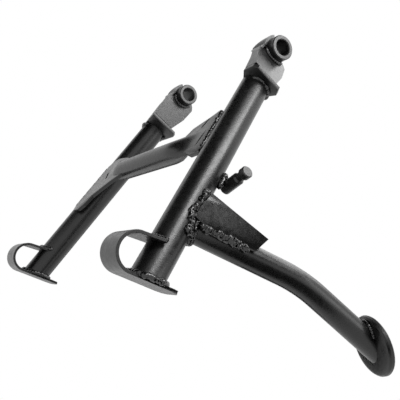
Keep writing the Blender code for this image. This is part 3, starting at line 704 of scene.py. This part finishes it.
# %% Floor and world
FLOOR_HALF = 3.0
FLOOR_Z = -0.0002
FLOOR_GREY = 0.66
FADE_START = 0.35
FADE_END = 1.3
WORLD_DIM = 0.30
SQUARE = ((-1, -1), (1, -1), (1, 1), (-1, 1))
floor_mesh = bpy.data.meshes.new("studio_floor")
floor_mesh.from_pydata([(x * FLOOR_HALF, y * FLOOR_HALF, FLOOR_Z) for x, y in SQUARE], [], [(0, 1, 2, 3)])
floor = bpy.data.objects.new("studio_floor", floor_mesh)
bpy.context.scene.collection.objects.link(floor)
paper = bpy.data.materials.new("pale_paper")
paper.use_nodes = True
tree = paper.node_tree
sheet = tree.nodes["Principled BSDF"]
sheet.inputs["Base Color"].default_value = (FLOOR_GREY, FLOOR_GREY, FLOOR_GREY, 1.0)
sheet.inputs["Roughness"].default_value = 0.9
clear = tree.nodes.new("ShaderNodeBsdfTransparent")
facing = tree.nodes.new("ShaderNodeNewGeometry")
spot = tree.nodes.new("ShaderNodeTexCoord")
away = tree.nodes.new("ShaderNodeVectorMath")
away.operation = "LENGTH"
wire(tree, spot.outputs["Object"], away.inputs[0])
fade = tree.nodes.new("ShaderNodeMapRange")
fade.interpolation_type = "SMOOTHSTEP"
fade.inputs["From Min"].default_value = FADE_START
fade.inputs["From Max"].default_value = FADE_END
wire(tree, away.outputs["Value"], fade.inputs["Value"])
gone = tree.nodes.new("ShaderNodeMath")
gone.operation = "MAXIMUM"
wire(tree, facing.outputs["Backfacing"], gone.inputs[0])
wire(tree, fade.outputs["Result"], gone.inputs[1])
choose = tree.nodes.new("ShaderNodeMixShader")
wire(tree, gone.outputs[0], choose.inputs["Fac"])
wire(tree, sheet.outputs["BSDF"], choose.inputs[1])
wire(tree, clear.outputs["BSDF"], choose.inputs[2])
wire(tree, choose.outputs["Shader"], tree.nodes["Material Output"].inputs["Surface"])
floor_mesh.materials.append(paper)
floor.visible_diffuse = False
floor.visible_glossy = False

world = bpy.data.worlds.new("white_studio")
bpy.context.scene.world = world
world.use_nodes = True
tree = world.node_tree
dim = tree.nodes["Background"]
dim.inputs["Color"].default_value = (1.0, 1.0, 1.0, 1.0)
dim.inputs["Strength"].default_value = WORLD_DIM
white = tree.nodes.new("ShaderNodeBackground")
white.inputs["Color"].default_value = (1.0, 1.0, 1.0, 1.0)
white.inputs["Strength"].default_value = 1.0
rays = tree.nodes.new("ShaderNodeLightPath")
seen = tree.nodes.new("ShaderNodeMath")
seen.operation = "MAXIMUM"
wire(tree, rays.outputs["Is Camera Ray"], seen.inputs[0])
wire(tree, rays.outputs["Is Glossy Ray"], seen.inputs[1])
seen_all = tree.nodes.new("ShaderNodeMath")
seen_all.operation = "MAXIMUM"
wire(tree, seen.outputs[0], seen_all.inputs[0])
wire(tree, rays.outputs["Is Transmission Ray"], seen_all.inputs[1])
blend = tree.nodes.new("ShaderNodeMixShader")
wire(tree, seen_all.outputs[0], blend.inputs["Fac"])
wire(tree, dim.outputs["Background"], blend.inputs[1])
wire(tree, white.outputs["Background"], blend.inputs[2])
wire(tree, blend.outputs["Shader"], tree.nodes["World Output"].inputs["Surface"])

# %% [markdown]
# Black paint shows what it faces, so the boxes stand where the photograph's reflections say that its lamps
# stood: the main one draws the pale band down each leg, the high one lights the end of the peg, the lever's
# one lifts the lever, and the rear one lights the near bracket's outer face. Dark cards stand where the
# studio was dark. They shape the reflections only, cast no shadow and are never seen.

# %% Soft boxes


def soft_box(name, place, target, width, length, watts):
    """A rectangular lamp that faces its target."""
    data = bpy.data.lights.new(name, "AREA")
    data.shape = "RECTANGLE"
    data.size = width
    data.size_y = length
    data.energy = watts
    lamp = bpy.data.objects.new(name, data)
    bpy.context.scene.collection.objects.link(lamp)
    lamp.location = place
    lamp.rotation_euler = (Vector(target) - Vector(place)).to_track_quat("-Z", "Y").to_euler()
    return lamp


soft_box("main_box", (0.99, 0.06, 0.97), (0.0, -0.03, 0.12), 0.95, 0.42, 14.0)
soft_box("high_box", (0.51, 0.48, 1.20), (0.0, -0.03, 0.12), 0.46, 0.32, 2.8)
soft_box("lever_box", (1.00, 0.73, 0.42), (0.1, 0.0, 0.06), 0.50, 0.50, 1.5)
soft_box("rear_box", (-0.15, 0.68, 1.30), (0.10, -0.03, 0.25), 1.05, 0.80, 5.4)


def dark_card(name, place, target, width, height):
    """A black card that only reflections see."""
    mesh = bpy.data.meshes.new(name)
    turn = (Vector(target) - Vector(place)).to_track_quat("Z", "Y").to_matrix()
    corners = [Vector(place) + turn @ Vector((x * width / 2, y * height / 2, 0.0)) for x, y in SQUARE]
    mesh.from_pydata(corners, [], [(0, 1, 2, 3)])
    card = bpy.data.objects.new(name, mesh)
    bpy.context.scene.collection.objects.link(card)
    felt = bpy.data.materials.new(name + "_felt")
    felt.use_nodes = True
    shader = felt.node_tree.nodes["Principled BSDF"]
    shader.inputs["Base Color"].default_value = (0.004, 0.004, 0.004, 1.0)
    shader.inputs["Roughness"].default_value = 1.0
    shader.inputs["Specular IOR Level"].default_value = 0.0
    mesh.materials.append(felt)
    card.visible_camera = False
    card.visible_shadow = False
    card.visible_diffuse = False
    return card


dark_card("front_card", (-0.08, -0.93, 1.05), (0.0, -0.03, 0.12), 1.9, 1.5)
dark_card("back_card", (-1.47, 0.62, 0.36), (0.0, 0.0, 0.15), 1.0, 1.1)
lever_top = LAYOUT @ (LEVER_ROOT * 0.45 + LEVER_KNEE * 0.55)
dark_card("lever_card", lever_top + Vector((0.093, 0.034, -0.099)), lever_top, 0.13, 0.22)
dark_card("pad_card", (0.0, 0.108, -0.05), (0.15, 0.12, 0.03), 0.12, 0.09)
gusset_face = LAYOUT @ gusset_point(40.0, 12.0, GUSSET_WIDTH / 2)
dark_card("gusset_card", gusset_face + Vector((0.086, 0.044, 0.066)), gusset_face, 0.13, 0.12)

# %% [markdown]
# The camera was worked out from the photograph: the directions of its right, its down and its view, and
# its place, all in layout space. The focal length is given in pixels of the 400 pixel frame.

# %% Camera
IMAGE = 400.0
FOCAL_PX = 568.8
CENTRE_PX = (195.24, 198.83)
CAMERA_RIGHT = Vector((0.52032, 0.68563, 0.5091))
CAMERA_DOWN = Vector((-0.09976, 0.64087, -0.76114))
CAMERA_VIEW = Vector((-0.84812, 0.34525, 0.40186))
CAMERA_PLACE = Vector((529.45, -159.14, -109.78))
camera_data = bpy.data.cameras.new("photo_camera")
camera = bpy.data.objects.new("photo_camera", camera_data)
bpy.context.scene.collection.objects.link(camera)
tip = LAYOUT.to_3x3().normalized()
axes = Matrix((CAMERA_RIGHT, -CAMERA_DOWN, -CAMERA_VIEW)).transposed()
camera.matrix_world = Matrix.Translation(LAYOUT @ CAMERA_PLACE) @ (tip @ axes).to_4x4()
camera_data.sensor_width = 36.0
camera_data.lens = camera_data.sensor_width * FOCAL_PX / IMAGE
camera_data.shift_x = (IMAGE / 2 - CENTRE_PX[0]) / IMAGE
camera_data.shift_y = -(IMAGE / 2 - CENTRE_PX[1]) / IMAGE
camera_data.clip_start = 0.01
bpy.context.scene.camera = camera
bpy.context.scene.view_settings.view_transform = "Standard"
